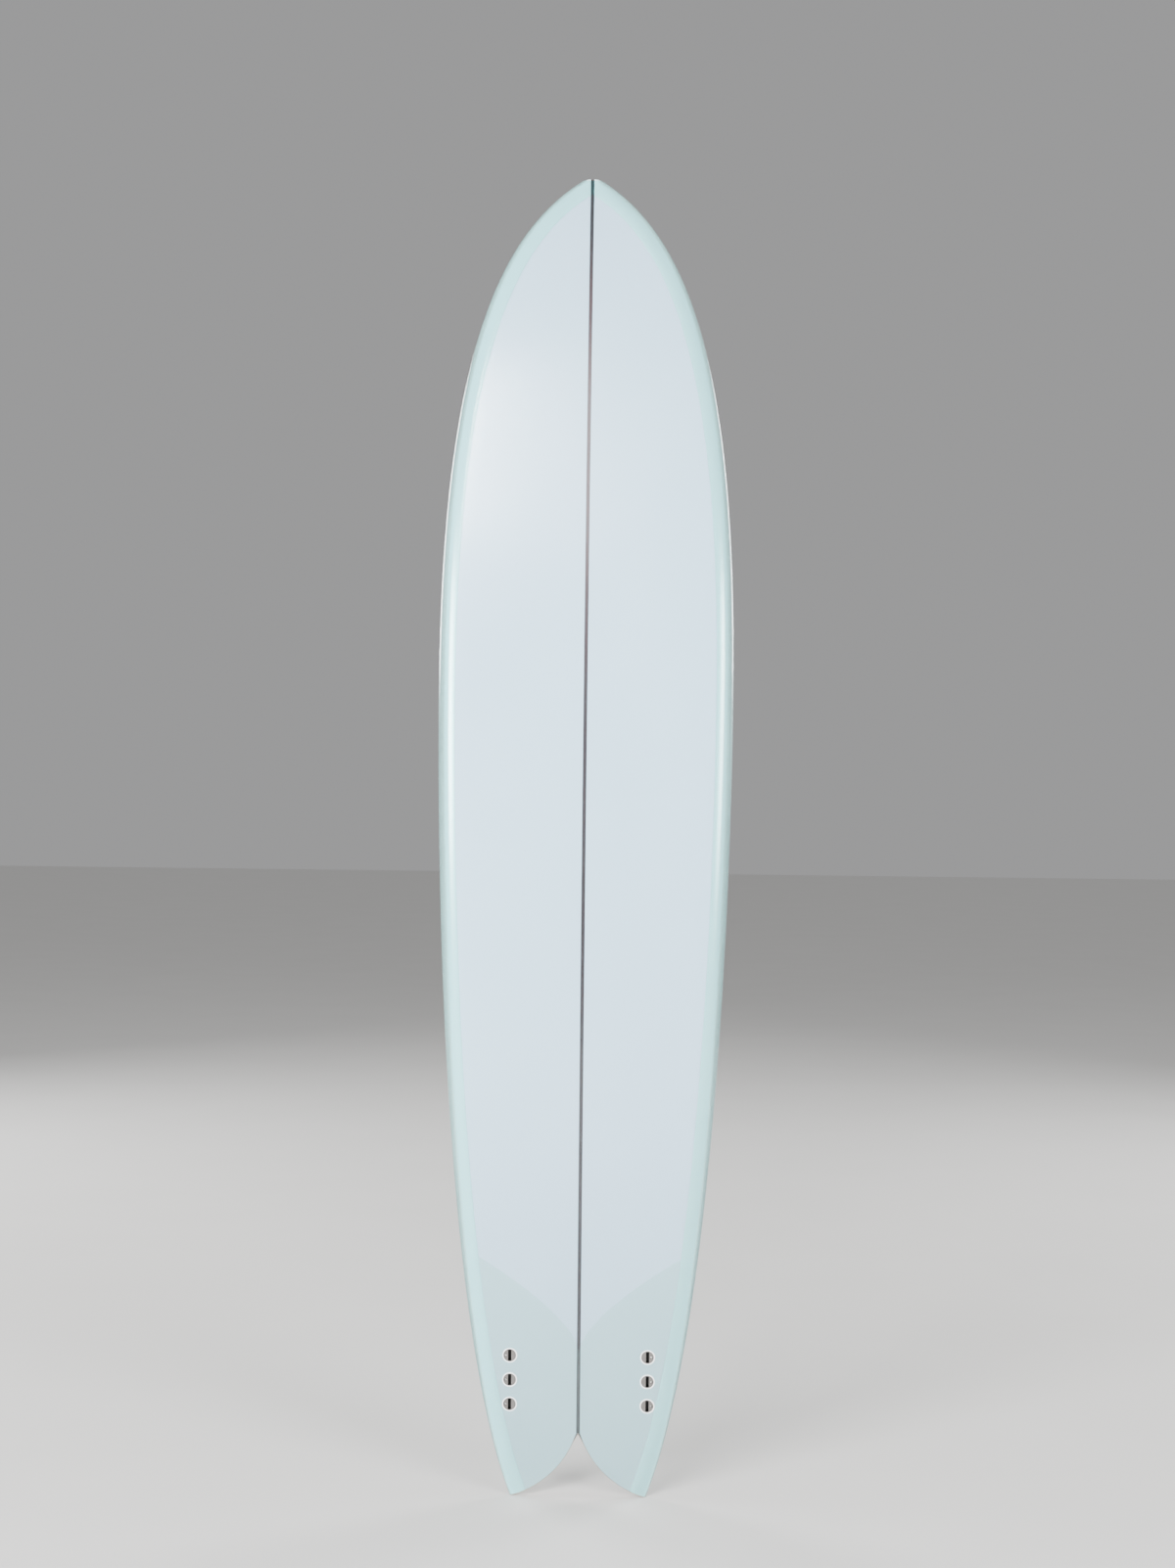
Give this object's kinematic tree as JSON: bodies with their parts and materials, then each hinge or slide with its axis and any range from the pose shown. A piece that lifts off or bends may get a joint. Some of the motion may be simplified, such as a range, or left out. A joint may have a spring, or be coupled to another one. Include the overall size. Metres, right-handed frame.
{
  "type": "surfboard",
  "caption": "Long swallow-tail fish surfboard with a wooden stringer, tinted glass laps and slotted plugs for a pair of keel fins.",
  "frame": {"origin": "on the stringer's middle plane, level with the tail tips and with the flattest part of the bottom", "axes": "+Z along the board to the nose, -Y out of the bottom, +Y out of the deck, +X to the right when looking at the bottom"},
  "size_m": [0.539, 0.1327, 2.4381],
  "materials": {
    "foam": "rigid foam, sanded",
    "stringer_wood": "fine grain, sealed under resin",
    "glue": "set wood glue",
    "bottom_glass": "glass cloth in pale tinted resin, polished",
    "deck_glass": "glass cloth in pale aqua resin, polished",
    "patch_glass": "extra glass cloth under gloss resin",
    "edge_tape": "cloth tape in clear resin",
    "nose_resin": "bare resin, polished",
    "plug_plastic": "moulded, sanded flush",
    "white_resin": "white filled resin, sanded and polished",
    "white_plastic": "moulded",
    "steel": "stainless"
  },
  "bodies": {
    "root": {"foam_blank_left": "foam", "foam_blank_right": "foam", "stringer": "stringer_wood", "glue_line_left": "glue", "glue_line_right": "glue", "bottom_laminate": "bottom_glass", "deck_laminate": "deck_glass", "tail_patch": "patch_glass", "deck_patch": "patch_glass", "tail_edge_tape_left": "edge_tape", "tail_edge_tape_right": "edge_tape", "nose_resin_tip": "nose_resin", "fin_plug_left_rear": "plug_plastic", "plug_resin_left_rear": "white_resin", "fin_plug_left_middle": "plug_plastic", "plug_resin_left_middle": "white_resin", "fin_plug_left_front": "plug_plastic", "plug_resin_left_front": "white_resin", "fin_plug_right_rear": "plug_plastic", "plug_resin_right_rear": "white_resin", "fin_plug_right_middle": "plug_plastic", "plug_resin_right_middle": "white_resin", "fin_plug_right_front": "plug_plastic", "plug_resin_right_front": "white_resin", "leash_cup": "white_plastic", "leash_cup_resin": "white_resin", "leash_bar": "steel"},
    "grub_screw_left_rear": {"grub_screw_left_rear": "steel"},
    "grub_screw_left_middle": {"grub_screw_left_middle": "steel"},
    "grub_screw_left_front": {"grub_screw_left_front": "steel"},
    "grub_screw_right_rear": {"grub_screw_right_rear": "steel"},
    "grub_screw_right_middle": {"grub_screw_right_middle": "steel"},
    "grub_screw_right_front": {"grub_screw_right_front": "steel"}
  },
  "joints": [
    {"name": "grub_screw_left_rear_turn_in", "type": "slide", "parent": "root", "child": "grub_screw_left_rear", "axis": [0.4695, 0.88, 0.0716], "range_m": [-0.003, 0.003]},
    {"name": "grub_screw_left_middle_turn_in", "type": "slide", "parent": "root", "child": "grub_screw_left_middle", "axis": [0.4695, 0.8803, 0.0683], "range_m": [-0.003, 0.003]},
    {"name": "grub_screw_left_front_turn_in", "type": "slide", "parent": "root", "child": "grub_screw_left_front", "axis": [0.4695, 0.8806, 0.065], "range_m": [-0.003, 0.003]},
    {"name": "grub_screw_right_rear_turn_in", "type": "slide", "parent": "root", "child": "grub_screw_right_rear", "axis": [-0.4695, 0.88, 0.0716], "range_m": [-0.003, 0.003]},
    {"name": "grub_screw_right_middle_turn_in", "type": "slide", "parent": "root", "child": "grub_screw_right_middle", "axis": [-0.4695, 0.8803, 0.0683], "range_m": [-0.003, 0.003]},
    {"name": "grub_screw_right_front_turn_in", "type": "slide", "parent": "root", "child": "grub_screw_right_front", "axis": [-0.4695, 0.8806, 0.065], "range_m": [-0.003, 0.003]}
  ]
}
